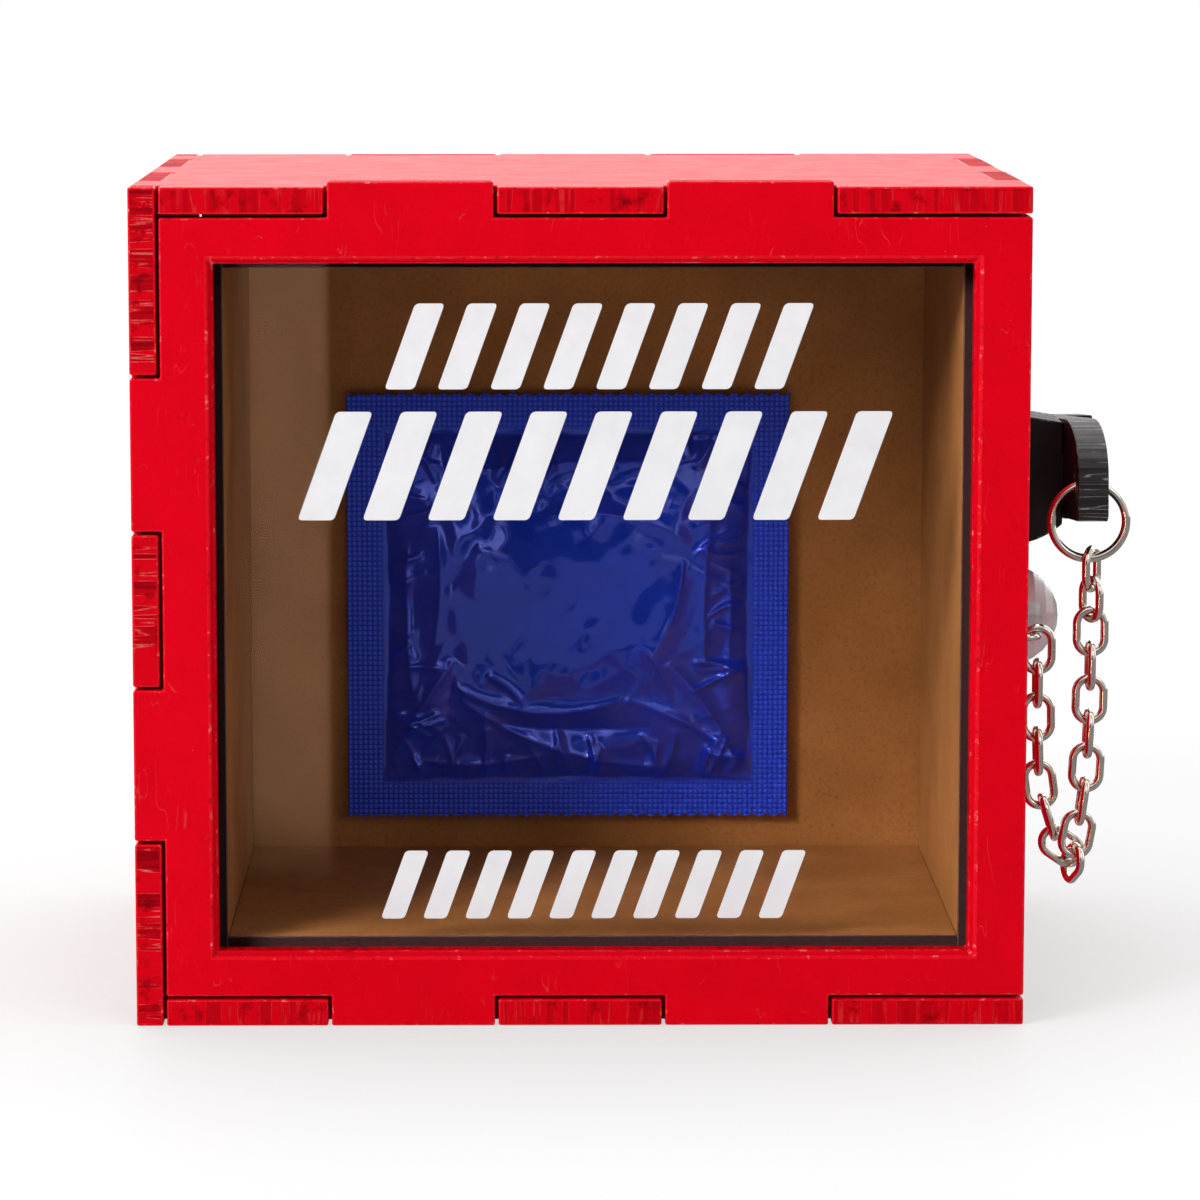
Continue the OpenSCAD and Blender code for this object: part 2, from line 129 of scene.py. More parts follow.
paintWear = {
    "dustSpacing": 2.4 * mm, "dustAbove": 0.62,  # share of the places that stay without a speck
    "speck": (0.045, 0.025),  # radius at which a speck starts and is full, as a share of the spacing
    "scratches": (  # size, turn, and line width as a share of the noise
        (2.2 * mm, (0.5, 0.9, 0.3), 0.007),
        (1.4 * mm, (1.9, 0.2, 2.2), 0.009)),
    "marks": 0.22,  # how far specks and scratches lighten the face
    "stretch": 0.05,  # noise along the board's thickness, as a share of that across it
    "evenCut": 0.7,  # tone that a smooth cut never falls below
    "burnt": 0.75,  # how dark the burns get
    "relief": 0.12 * mm,
    "cutRelief": 0.3, "wrinkleRelief": 0.7, "faceRelief": 0.28,  # strength of the relief on each
    "cutRoughness": 0.6,
    "glossVaries": (-0.06, 0.08),  # least and most that clouds add to the face's roughness
}
arrisWear = {
    "runSize": 1.1 * mm, "worn": 0.7, "scorched": 0.7,
    "relief": 0.1 * mm, "strength": 0.5,
    "specular": 0.12, "roughness": 0.4,
}


# 1 on a board's two broad faces and 0 on its cut edges: the size of the normal along the board's
# thickness axis, stepped at 0.6.
def boardMask(tree, axis):
    coordinates = addNode(tree, "TexCoord")
    parts = addNode(tree, "SeparateXYZ", {0: coordinates.outputs["Normal"]})
    size = addNode(tree, "Math", {0: parts.outputs[axis]}, operation="ABSOLUTE")
    step = addNode(tree, "Math", {0: size.outputs[0], 1: 0.6}, operation="GREATER_THAN")
    return coordinates.outputs["Object"], step.outputs[0]


# Fine wandering lines: where a stretched noise lies within width of its middle value, broken up
# by a second noise.
def hairScratches(tree, where, size, turn, width):
    turned = addNode(tree, "Mapping", {"Vector": where, "Rotation": turn, "Scale": (1.0, 0.25, 0.25)})
    noise = addNode(tree, "TexNoise", {"Vector": turned.outputs[0], "Scale": 1 / size, "Detail": 1.0})
    off = addNode(tree, "Math", {0: noise.outputs["Fac"], 1: 0.5}, operation="SUBTRACT")
    away = addNode(tree, "Math", {0: off.outputs[0]}, operation="ABSOLUTE")
    line = addNode(tree, "MapRange", {"Value": away.outputs[0], "From Min": width, "From Max": 0.0})
    breakUp = addNode(tree, "TexNoise", {"Vector": where, "Scale": 1 / (2.2 * size), "Detail": 3.0})
    keep = addNode(tree, "MapRange", {"Value": breakUp.outputs["Fac"], "From Min": 0.59, "From Max": 0.68})
    return addNode(tree, "Math", {0: line.outputs[0], 1: keep.outputs[0]}, operation="MULTIPLY").outputs[0]


# Colour of a painted face: cloudy, and paler on hair scratches and on a few specks of dust, which
# are the middles of some Voronoi cells.
def facePaint(tree, where, cloud, look, wear):
    clean = addNode(tree, "Mix", {
        "Factor": cloud, 6: srgbHex(look["face"]), 7: srgbHex(look["faceDeep"])}, data_type="RGBA")
    dust = addNode(tree, "TexVoronoi", {"Vector": where, "Scale": 1 / wear["dustSpacing"]}, feature="F1")
    speck = addNode(tree, "MapRange", {
        "Value": dust.outputs["Distance"], "From Min": wear["speck"][0], "From Max": wear["speck"][1]})
    rare = addNode(tree, "SeparateColor", {0: dust.outputs["Color"]})
    few = addNode(tree, "Math", {0: rare.outputs[0], 1: wear["dustAbove"]}, operation="GREATER_THAN")
    specks = addNode(tree, "Math", {0: speck.outputs[0], 1: few.outputs[0]}, operation="MULTIPLY")
    long, short = [hairScratches(tree, where, *line) for line in wear["scratches"]]
    scratches = addNode(tree, "Math", {0: long, 1: short}, operation="MAXIMUM")
    marks = addNode(tree, "Math", {0: scratches.outputs[0], 1: specks.outputs[0]}, operation="MAXIMUM")
    faint = addNode(tree, "Math", {0: marks.outputs[0], 1: wear["marks"]}, operation="MULTIPLY")
    marked = addNode(tree, "Mix", {
        "Factor": faint.outputs[0], 6: clean.outputs[2], 7: srgbHex(look["scratch"])}, data_type="RGBA")
    return marked.outputs[2]


# Colour and ribs of a cut edge. A noise stretched along the board's thickness makes its ribs and their
# relief:
# deep where it is low, in the grooves, which is painted shade, and with a pale wrinkle where it crosses its
# middle, which is a painted highlight. A second noise burns it in blotches.
def cutPaint(tree, where, axis, wrinkled, look, wear):
    flat = [1.0, 1.0, 1.0]
    flat["XYZ".index(axis)] = wear["stretch"]
    ribSpace = addNode(tree, "Mapping", {"Vector": where, "Scale": flat})
    ribs = addNode(tree, "TexNoise", {
        "Vector": ribSpace.outputs[0], "Scale": 1 / look["ribSize"], "Detail": 1.0})
    # the ribs are deep where the noise is low, which is where the relief has its grooves: painted shade
    ribToneAndGrooveShade = addNode(tree, "MapRange", {
        "Value": ribs.outputs["Fac"], "From Min": 0.36, "From Max": 0.56,
        "To Min": wear["evenCut"] * (1 - wrinkled)})
    cutColour = addNode(tree, "Mix", {
        "Factor": ribToneAndGrooveShade.outputs[0], 6: srgbHex(look["cutDeep"]), 7: srgbHex(look["cut"])}, data_type="RGBA")
    burnNoise = addNode(tree, "TexNoise", {
        "Vector": where, "Scale": 1 / look["burnSize"], "Detail": 5.0, "Roughness": 0.65})
    burnt = addNode(tree, "MapRange", {
        "Value": burnNoise.outputs["Fac"], "From Min": 0.56, "From Max": 0.74, "To Max": wear["burnt"]})
    burntCut = addNode(tree, "Mix", {
        "Factor": burnt.outputs[0], 6: cutColour.outputs[2], 7: srgbHex(look["burn"])}, data_type="RGBA")
    # pale lines where the ribs cross their middle, broken up in patches: painted highlights on the wrinkles
    off = addNode(tree, "Math", {0: ribs.outputs["Fac"], 1: 0.5}, operation="SUBTRACT")
    away = addNode(tree, "Math", {0: off.outputs[0]}, operation="ABSOLUTE")
    paintedHighlightLine = addNode(tree, "MapRange", {"Value": away.outputs[0], "From Min": 0.022, "From Max": 0.006})
    patchy = addNode(tree, "MapRange", {
        "Value": burnNoise.outputs["Fac"], "From Min": 0.58, "From Max": 0.42,
        "To Max": look["wrinkleHighlight"] * wrinkled})
    pale = addNode(tree, "Math", {0: paintedHighlightLine.outputs[0], 1: patchy.outputs[0]}, operation="MULTIPLY")
    wornCut = addNode(tree, "Mix", {
        "Factor": pale.outputs[0], 6: burntCut.outputs[2], 7: srgbHex(look["chipAndHighlight"])}, data_type="RGBA")
    return wornCut.outputs[2], ribs.outputs["Fac"]


# Spray-painted MDF, laser-cut. The faces are satin with a fine grain; the cut edges soak up paint,
# so they are deeper, duller and ribbed. How strong the wrinkles of the cut edges are, with the painted
# shade in their grooves and the painted highlights on them, is given by wrinkled, from 0 to 1.
def paintedBoard(name, axis, wrinkled, look, wear):
    material, tree, output = newMaterial(name)
    where, onFace = boardMask(tree, axis)
    noise = addNode(tree, "TexNoise", {"Vector": where, "Scale": 1 / look["cloudSize"], "Detail": 4.0})
    cloud = noise.outputs["Fac"]
    face = facePaint(tree, where, cloud, look, wear)
    cut, ribs = cutPaint(tree, where, axis, wrinkled, look, wear)
    colour = addNode(tree, "Mix", {"Factor": onFace, 6: cut, 7: face}, data_type="RGBA")
    grain = addNode(tree, "TexNoise", {"Vector": where, "Scale": 1 / look["grainSize"], "Detail": 3.0})
    relief = addNode(tree, "Mix", {"Factor": onFace, 2: ribs, 3: grain.outputs["Fac"]})
    depth = addNode(tree, "MapRange", {
        "Value": onFace, "To Min": wear["cutRelief"] + wear["wrinkleRelief"] * wrinkled,
        "To Max": wear["faceRelief"]})
    bump = addNode(tree, "Bump", {
        "Height": relief.outputs[0], "Strength": depth.outputs[0], "Distance": wear["relief"]})
    gloss = addNode(tree, "MapRange", {
        "Value": cloud, "To Min": look["roughness"] + wear["glossVaries"][0],
        "To Max": look["roughness"] + wear["glossVaries"][1]})
    roughness = addNode(tree, "Mix", {"Factor": onFace, 2: wear["cutRoughness"], 3: gloss.outputs[0]})
    paint = addNode(tree, "BsdfPrincipled", {
        "Base Color": colour.outputs[2], "Roughness": roughness.outputs[0],
        "Specular IOR Level": look["specular"], "Normal": bump.outputs[0]})
    tree.links.new(paint.outputs[0], output.inputs["Surface"])
    return material


# The narrow edge where two faces meet: paint rubbed thin and pale in short runs, and scorched in
# others.
def wornArris(name, look, chipShare, wear):
    material, tree, output = newMaterial(name)
    where = addNode(tree, "TexCoord").outputs["Object"]
    runs = addNode(tree, "TexNoise", {
        "Vector": where, "Scale": 1 / wear["runSize"], "Detail": 5.0, "Roughness": 0.7})
    pale = addNode(tree, "MapRange", {
        "Value": runs.outputs["Fac"], "From Min": 0.6 - chipShare, "From Max": 0.7 - chipShare,
        "To Max": wear["worn"]})
    dark = addNode(tree, "MapRange", {
        "Value": runs.outputs["Fac"], "From Min": 0.44, "From Max": 0.36, "To Max": wear["scorched"]})
    base = addNode(tree, "Mix", {
        "Factor": dark.outputs[0], 6: srgbHex(look["face"]), 7: srgbHex(look["cutDeep"])}, data_type="RGBA")
    colour = addNode(tree, "Mix", {
        "Factor": pale.outputs[0], 6: base.outputs[2], 7: srgbHex(look["chipAndHighlight"])}, data_type="RGBA")
    bump = addNode(tree, "Bump", {
        "Height": runs.outputs["Fac"], "Strength": wear["strength"], "Distance": wear["relief"]})
    paint = addNode(tree, "BsdfPrincipled", {
        "Base Color": colour.outputs[2], "Roughness": wear["roughness"],
        "Specular IOR Level": wear["specular"], "Normal": bump.outputs[0]})
    tree.links.new(paint.outputs[0], output.inputs["Surface"])
    return material


rawBoard = {
    "face": "#B0723C", "faceDeep": "#955C28", "fleck": "#6A3C17",
    "cut": "#6E4442", "cutDeep": "#472A2C",
    "cloudSize": 14.0 * mm, "fibreSize": 0.5 * mm,  # bundles: a single fibre is too fine to show
    "flecks": 0.5,  # how dark the flecks get
    "relief": 0.1 * mm, "strength": 0.35,
    "specular": 0.2, "roughness": 0.8,
}


# Raw MDF: matt, pressed from fine fibres, so it is cloudy at a large scale and flecked at a small
# one; the laser leaves its cut edges charred.
def rawFibreboard(name, axis, look):
    material, tree, output = newMaterial(name)
    where, onFace = boardMask(tree, axis)
    cloud = addNode(tree, "TexNoise", {"Vector": where, "Scale": 1 / look["cloudSize"], "Detail": 5.0})
    tone = addNode(tree, "MapRange", {"Value": cloud.outputs["Fac"], "From Min": 0.3, "From Max": 0.7})
    fibre = addNode(tree, "TexNoise", {
        "Vector": where, "Scale": 1 / look["fibreSize"], "Detail": 4.0, "Roughness": 0.7,
        "Distortion": 0.6})
    base = addNode(tree, "Mix", {
        "Factor": tone.outputs[0], 6: srgbHex(look["face"]), 7: srgbHex(look["faceDeep"])}, data_type="RGBA")
    fleck = addNode(tree, "MapRange", {
        "Value": fibre.outputs["Fac"], "From Min": 0.5, "From Max": 0.72, "To Max": look["flecks"]})
    flecked = addNode(tree, "Mix", {
        "Factor": fleck.outputs[0], 6: base.outputs[2], 7: srgbHex(look["fleck"])}, data_type="RGBA")
    charred = addNode(tree, "Mix", {
        "Factor": fibre.outputs["Fac"],
        6: srgbHex(look["cutDeep"]), 7: srgbHex(look["cut"])}, data_type="RGBA")
    colour = addNode(tree, "Mix", {
        "Factor": onFace, 6: charred.outputs[2], 7: flecked.outputs[2]}, data_type="RGBA")
    bump = addNode(tree, "Bump", {
        "Height": fibre.outputs["Fac"], "Strength": look["strength"], "Distance": look["relief"]})
    board = addNode(tree, "BsdfPrincipled", {
        "Base Color": colour.outputs[2], "Roughness": look["roughness"],
        "Specular IOR Level": look["specular"], "Normal": bump.outputs[0]})
    tree.links.new(board.outputs[0], output.inputs["Surface"])
    return material


nickelPlate = {
    "bright": "#F0E9E0", "dull": "#CCC2B6",
    "cloudSize": 1.5 * mm, "smooth": 0.05, "handled": 0.16,  # roughness from smooth to handled
    "relief": 0.05 * mm, "strength": 0.15,
}


# Bright nickel plate on drawn wire: mirror-like with a warm grey cast, dulled a little and
# unevenly by handling.
def nickelWire(look):
    material, tree, output = newMaterial("nickelPlatedWire")
    where = addNode(tree, "TexCoord").outputs["Object"]
    cloud = addNode(tree, "TexNoise", {"Vector": where, "Scale": 1 / look["cloudSize"], "Detail": 4.0})
    roughness = addNode(tree, "MapRange", {
        "Value": cloud.outputs["Fac"], "To Min": look["smooth"], "To Max": look["handled"]})
    colour = addNode(tree, "Mix", {
        "Factor": cloud.outputs["Fac"],
        6: srgbHex(look["bright"]), 7: srgbHex(look["dull"])}, data_type="RGBA")
    bump = addNode(tree, "Bump", {
        "Height": cloud.outputs["Fac"], "Strength": look["strength"], "Distance": look["relief"]})
    metal = addNode(tree, "BsdfPrincipled", {
        "Base Color": colour.outputs[2], "Metallic": 1.0, "Roughness": roughness.outputs[0],
        "Normal": bump.outputs[0]})
    tree.links.new(metal.outputs[0], output.inputs["Surface"])
    return material


# the sheet's ior is lower than acrylic's 1.49, so that it mirrors little
acrylicSheet = {"tint": "#FBFDFC", "ior": 1.12, "roughness": 0.0, "clearness": 1.0}
acrylicKnob = {"tint": "#F4F1F5", "ior": 1.49, "roughness": 0.02, "clearness": 0.55}


# Clear cast acrylic: it bends what is behind it a little, and lets the lamps through. What isn't
# clear of it is the haze of its worn or faceted surface.
def clearAcrylic(name, look):
    material, tree, output = newMaterial(name)
    glass = addNode(tree, "BsdfPrincipled", {
        "Base Color": srgbHex(look["tint"]), "Roughness": look["roughness"], "IOR": look["ior"],
        "Transmission Weight": look["clearness"]})
    clear = addNode(tree, "BsdfTransparent", {"Color": srgbHex(look["tint"])})
    rays = addNode(tree, "LightPath")
    mixed = addNode(tree, "MixShader", {
        0: rays.outputs["Is Shadow Ray"], 1: glass.outputs[0], 2: clear.outputs[0]})
    tree.links.new(mixed.outputs[0], output.inputs["Surface"])
    return material


foamPad = {
    "colour": "#E9E8E2", "cellSize": 0.35 * mm, "relief": 0.1 * mm, "strength": 0.5, "roughness": 0.85,
}


# White polyethylene foam of a double-sided pad: matt, with cells of a third of a mm.
def whiteFoam(look):
    material, tree, output = newMaterial("whiteFoamTape")
    where = addNode(tree, "TexCoord").outputs["Object"]
    cells = addNode(tree, "TexVoronoi", {"Vector": where, "Scale": 1 / look["cellSize"]}, feature="F1")
    bump = addNode(tree, "Bump", {
        "Height": cells.outputs["Distance"], "Strength": look["strength"], "Distance": look["relief"]})
    foam = addNode(tree, "BsdfPrincipled", {
        "Base Color": srgbHex(look["colour"]), "Roughness": look["roughness"], "Normal": bump.outputs[0]})
    tree.links.new(foam.outputs[0], output.inputs["Surface"])
    return material


foilFinish = {
    "pouch": "#0C3CE0", "pouchDeep": "#082CB8", "seal": "#0A28BC", "dots": "#3054F0",
    "cloudSize": 5 * mm, "border": 0.2 * mm,  # half the width over which pouch turns to seal
    # first on the pouch, then on the seal
    "roughness": (0.17, 0.45), "metallic": (0.35, 0.1), "film": (0.7, 0.05),
    "filmRoughness": 0.03, "filmIor": 1.7,  # above a plastic film's 1.5, for brighter highlights
    "specular": 0.3,
    "dotRelief": 0.12 * mm, "strength": 0.8,
}


# Laminated foil: a metal layer under blue lacquer and a clear film, so deep blue with sharp
# highlights; its heat-sealed margin is pressed with a fine grid of dots.
def blueFoil(sealInside, dotPitch, middle, look):
    material, tree, output = newMaterial("blueLaminatedFoil")
    where = addNode(tree, "TexCoord").outputs["Object"]
    centred = addNode(tree, "Mapping", {"Vector": where, "Location": [-c for c in middle]})
    parts = addNode(tree, "SeparateXYZ", {0: centred.outputs[0]})
    outside = []
    for axis, inside in (("X", sealInside[0]), ("Z", sealInside[1])):
        size = addNode(tree, "Math", {0: parts.outputs[axis]}, operation="ABSOLUTE")
        beyond = addNode(tree, "MapRange", {
            "Value": size.outputs[0],
            "From Min": inside - look["border"], "From Max": inside + look["border"]})
        outside.append(beyond.outputs[0])
    onSeal = addNode(tree, "Math", {0: outside[0], 1: outside[1]}, operation="MAXIMUM")
    waves = []
    for axis in ("X", "Z"):  # dots two to a pitch: the size of a sine each way, multiplied
        turns = addNode(tree, "Math", {
            0: parts.outputs[axis], 1: 2 * math.pi / dotPitch}, operation="MULTIPLY")
        wave = addNode(tree, "Math", {0: turns.outputs[0]}, operation="SINE")
        waves.append(addNode(tree, "Math", {0: wave.outputs[0]}, operation="ABSOLUTE").outputs[0])
    dots = addNode(tree, "Math", {0: waves[0], 1: waves[1]}, operation="MULTIPLY")
    pressed = addNode(tree, "Math", {0: dots.outputs[0], 1: onSeal.outputs[0]}, operation="MULTIPLY")
    cloud = addNode(tree, "TexNoise", {"Vector": where, "Scale": 1 / look["cloudSize"], "Detail": 3.0})
    pouch = addNode(tree, "Mix", {
        "Factor": cloud.outputs["Fac"],
        6: srgbHex(look["pouch"]), 7: srgbHex(look["pouchDeep"])}, data_type="RGBA")
    dotted = addNode(tree, "Mix", {
        "Factor": pressed.outputs[0], 6: srgbHex(look["seal"]), 7: srgbHex(look["dots"])}, data_type="RGBA")
    colour = addNode(tree, "Mix", {
        "Factor": onSeal.outputs[0], 6: pouch.outputs[2], 7: dotted.outputs[2]}, data_type="RGBA")
    roughness, metallic, film = [
        addNode(tree, "MapRange", {
            "Value": onSeal.outputs[0], "To Min": look[share][0], "To Max": look[share][1]}).outputs[0]
        for share in ("roughness", "metallic", "film")]
    bump = addNode(tree, "Bump", {
        "Height": pressed.outputs[0], "Strength": look["strength"], "Distance": look["dotRelief"]})
    foil = addNode(tree, "BsdfPrincipled", {
        "Base Color": colour.outputs[2], "Metallic": metallic, "Roughness": roughness,
        "Specular IOR Level": look["specular"], "Coat Weight": film, "Coat Roughness": look["filmRoughness"],
        "Coat IOR": look["filmIor"], "Normal": bump.outputs[0]})
    tree.links.new(foil.outputs[0], output.inputs["Surface"])
    return material


screenPrint = {
    "dense": "#F2F2F3", "thin": "#E2E2E6", "cloudSize": 3 * mm, "specular": 0.2, "roughness": 0.5,
}


# Screen-printed white ink on the pane: matt, dense, a touch uneven.
def whiteInk(look):
    material, tree, output = newMaterial("whiteScreenPrint")
    where = addNode(tree, "TexCoord").outputs["Object"]
    cloud = addNode(tree, "TexNoise", {"Vector": where, "Scale": 1 / look["cloudSize"], "Detail": 3.0})
    colour = addNode(tree, "Mix", {
        "Factor": cloud.outputs["Fac"],
        6: srgbHex(look["dense"]), 7: srgbHex(look["thin"])}, data_type="RGBA")
    ink = addNode(tree, "BsdfPrincipled", {
        "Base Color": colour.outputs[2], "Roughness": look["roughness"],
        "Specular IOR Level": look["specular"]})
    tree.links.new(ink.outputs[0], output.inputs["Surface"])
    return material


redArris = wornArris("rubbedRedPaint", redPaint, 0.02, arrisWear)
blackArris = wornArris("rubbedBlackPaint", blackPaint, 0.05, arrisWear)
charredArris = {**rawBoard, "face": "#6A4526", "faceDeep": "#4A2E1C"}
rawArris = rawFibreboard("charredFibreboardArris", "X", charredArris)
nickel = nickelWire(nickelPlate)
print("materials are made")

redBoards = {  # each board's node and the axis of its thickness
    "front_frame": "Y", "back_panel": "Y", "top_panel": "Z", "bottom_panel": "Z",
    "left_panel": "X", "right_panel": "X",
}
blackBoards = {
    "arm_front_layer": "Y", "arm_middle_layer": "Y", "arm_rear_layer": "Y",
    "hammer_body": "X", "hammer_inner_cheek": "X", "hammer_outer_cheek": "X",
}
trayBoards = {
    "tray_left_board": "X", "tray_right_board": "X", "tray_top_board": "Z", "tray_bottom_board": "Z",
    "tray_back_board": "Y", "tray_rails": "Z", "tray_rear_blocks": "Y",
}
wireNodes = (
    "split_ring", "chain_twist_links", "chain_ring_side_links", "chain_bottom_link",
    "chain_eye_side_links", "screw_eye", "knob_stud",
)
finishSettings = {
    "arris": 0.22 * mm, "trayArris": 0.132 * mm, "arrisSegments": 2,
    "weld": 0.002 * mm, "flatAngle": 1, "arrisAngle": 35,  # degrees
}


def dressBoard(node, material, arris, width):  # board material, and arrises rounded by sandpaper
    piece = nodes[node]
    piece.data.materials.clear()
    piece.data.materials.append(material)
    piece.data.materials.append(arris)
    weld = piece.modifiers.new("weld", "WELD")
    weld.merge_threshold = finishSettings["weld"]
    flat = piece.modifiers.new("flat", "DECIMATE")
    flat.decimate_type = "DISSOLVE"
    flat.angle_limit = math.radians(finishSettings["flatAngle"])
    bevel = piece.modifiers.new("arris", "BEVEL")
    bevel.width = width
    bevel.segments = finishSettings["arrisSegments"]
    bevel.limit_method = "ANGLE"
    bevel.angle_limit = math.radians(finishSettings["arrisAngle"])
    bevel.material = 1
    bevel.use_clamp_overlap = True


# the cut edges are wrinkled most on the side boards, whose ends face the front, and carry there the most
# painted shade and painted highlight
redByAxis = {axis: paintedBoard("redPaintedFibreboard" + axis, axis, wrinkled, redPaint, paintWear)
             for axis, wrinkled in (("X", 1.0), ("Y", 0.2), ("Z", 0.2))}
blackByAxis = {axis: paintedBoard("blackPaintedFibreboard" + axis, axis, 1.0, blackPaint, paintWear)
               for axis in "XY"}
rawByAxis = {axis: rawFibreboard("rawFibreboard" + axis, axis, rawBoard) for axis in "XYZ"}
for node, axis in redBoards.items():
    dressBoard(node, redByAxis[axis], redArris, finishSettings["arris"])
for node, axis in blackBoards.items():
    dressBoard(node, blackByAxis[axis], blackArris, finishSettings["arris"])
for node, axis in trayBoards.items():
    dressBoard(node, rawByAxis[axis], rawArris, finishSettings["trayArris"])
for node in wireNodes:
    piece = nodes[node]
    piece.data.materials.clear()
    piece.data.materials.append(nickel)
    piece.modifiers.new("weld", "WELD").merge_threshold = finishSettings["weld"]
    piece.data.polygons.foreach_set("use_smooth", [True] * len(piece.data.polygons))
for node, material in (
        ("glass_pane", clearAcrylic("clearAcrylicSheet", acrylicSheet)),
        ("clear_knob", clearAcrylic("clearAcrylicKnob", acrylicKnob)),
        ("sticky_pad", whiteFoam(foamPad))):
    nodes[node].data.materials.clear()
    nodes[node].data.materials.append(material)
print("boards, wire and pane are finished")


# Foil sachet
sachetSettings = {
    "columns": 264, "rows": 250,  # of the grid
    "teeth": 32, "toothDepth": 0.45 * mm, "toothPower": 60,  # how close to the edge they stay
    "seal": 4.4 * mm, "sealThickness": 0.5 * mm, "sealRipple": 0.12 * mm, "sealLift": 0.1 * mm,
    "dotPitch": 1.24 * mm,
    "drawIn": 0.9 * mm,  # how far the middles of the pouch's sides are drawn in by its filling
    "crownShare": 0.8,  # of the pouch's rise
    "wander": 0.25, "swelling": 0.5, "swellingSize": 13, "crumple": 0.35,  # mm
    "seed": 7,
    "folds": (  # start and end in mm from the middle, then bulge to the left, width and height
        ((-14.8, -9.6), (7.0, -11.6), -2.6, 1.0, 1.0), ((7.0, -11.6), (21.6, -19.2), 1.0, 0.9, 0.7),
        ((-13.8, -11.4), (12.6, -20.6), -2.4, 0.8, 0.7), ((-22.4, -20.0), (-14.4, -6.4), 0.6, 0.9, 0.8),
        ((21.4, -20.2), (12.6, -6.8), -0.9, 0.8, 0.7), ((-16.6, 10.5), (-17.2, -5.0), 0.6, 1.1, 0.6),
        ((18.2, 12.0), (17.6, -7.5), -0.5, 0.9, 0.6), ((-20.4, 8.5), (-19.8, -11.0), -0.5, 0.5, 0.6),
        ((20.6, 6.0), (20.2, -10.0), 0.4, 0.5, 0.5), ((-10.4, -8.2), (-5.4, -12.6), 0.6, 0.6, 0.5),
        ((14.6, 6.4), (9.6, -7.4), 1.2, 0.8, 0.4), ((9.2, -4.6), (13.0, -12.0), 0.8, 0.7, 0.5),
        ((-15.5, 17.0), (13.5, 18.4), 1.0, 0.9, 0.6), ((-12.0, 8.0), (-5.0, 3.0), 1.0, 0.8, 0.3),
        ((-18.5, -19.5), (-3.0, -19.0), -1.0, 0.6, 0.5), ((2.0, 12.5), (15.5, 8.5), 1.0, 1.0, 0.35),
        ((-10.5, -14.6), (10.5, -15.2), -0.8, 1.5, -1.0)),
    "pleats": 90,
    # lowest and highest side, place along it, reach and lean of a pleat, and its bulge, width and height
    "pleatPlace": ((0, -0.95, 2.5, -0.7), (4, 0.95, 7.5, 0.7)),
    "pleatShape": ((-0.6, 0.25, 0.2), (0.6, 0.6, 0.8)),
}


# Soft random relief: a sum of sine waves in random directions, each octave half as long and half
# as strong as the one before.
def smoothNoise(x, z, size, seed, octaves=3, waves=6):
    random = np.random.default_rng(seed)
    total = np.zeros_like(x)
    for octave in range(octaves):
        for _ in range(waves):
            angle, phase = random.uniform(0, 2 * np.pi, 2)
            wave = 2 * np.pi / (size * random.uniform(0.8, 1.3)) * 2 ** octave
            total += 0.5 ** octave * np.sin(wave * (x * np.cos(angle) + z * np.sin(angle)) + phase)
    return total / waves


# A pinched ridge along an arc from start to end. Its height falls off with the distance to the
# arc, and towards both ends; the arc leaves the chord by bulge in its middle.
def fold(x, z, start, end, bulge, width, height):
    run, rise = end[0] - start[0], end[1] - start[1]
    length = math.hypot(run, rise)
    along = ((x - start[0]) * run + (z - start[1]) * rise) / length ** 2
    off = ((z - start[1]) * run - (x - start[0]) * rise) / length - 4 * bulge * along * (1 - along)
    ends = np.clip(along, 0, 1) * np.clip(1 - along, 0, 1) * 4
    return height * np.exp(-np.abs(off) / width) * np.sqrt(ends)


# Height of the pouch over its seal, in mm: a crown that is flat in the middle, a round swelling,
# the listed folds, short pleats that run in from the seal, and a soft crumple.
def sachetHeight(x, z, half, settings, rise):
    wander = settings["wander"] * smoothNoise(x, z, 6, settings["seed"] + 3)
    shareX = np.clip((np.abs(x) + wander) / half[0], 0, 1)
    shareZ = np.clip((np.abs(z) + wander) / half[1], 0, 1)
    crown = (1 - shareX ** 3) ** 0.8 * (1 - shareZ ** 3) ** 0.8
    relief = settings["swelling"] * np.exp(-(np.hypot(x, z - 1) / settings["swellingSize"]) ** 6)
    for start, end, bulge, width, height in settings["folds"]:
        relief += fold(x, z, start, end, bulge, width, height)
    random = np.random.default_rng(settings["seed"])
    for _ in range(settings["pleats"]):  # each has its foot on one of the pouch's sides and its tip inside
        side, place, reach, lean = random.uniform(*settings["pleatPlace"])
        across = np.array([1, 0]) if int(side) % 2 else np.array([0, 1])
        inward = across[::-1] if side < 2 else -across[::-1]
        foot = -inward * half + across * half * place
        tip = foot + reach * (inward + lean * across)
        bulge, width, height = random.uniform(*settings["pleatShape"])
        relief += fold(x, z, foot, tip, bulge, width, height)
    crumple = smoothNoise(x, z, 13, settings["seed"] + 1)
    crumple -= np.abs(smoothNoise(x, z, 10, settings["seed"] + 2, 2))
    relief += settings["crumple"] * crumple * (0.55 + 0.45 * np.maximum(shareX, shareZ) ** 2)
    return np.maximum(rise * settings["crownShare"] * crown + relief * np.minimum(1, crown * 8), 0)


# Closes a grid of points into a body: the grid's quads, a wall from its rim back to the plane
# y = back, and one face at the wall's foot.
def closeGrid(points, columns, rows, back):
    rowLength = columns + 1
    start = (np.arange(rows)[:, None] * rowLength + np.arange(columns)).reshape(-1)
    quads = np.stack([start, start + 1, start + 1 + rowLength, start + rowLength], -1)
    count = len(points)
    along, up = np.arange(columns), np.arange(rows)
    rim = np.concatenate([
        along, up * rowLength + columns, count - 1 - along, (rows - up) * rowLength])
    foot = points[rim]
    foot[:, 1] = back
    footRim = count + np.arange(len(rim))
    wall = np.stack([rim, footRim, np.roll(footRim, -1), np.roll(rim, -1)], -1)
    return np.concatenate([points, foot]), quads.tolist() + wall.tolist() + [footRim[::-1].tolist()]


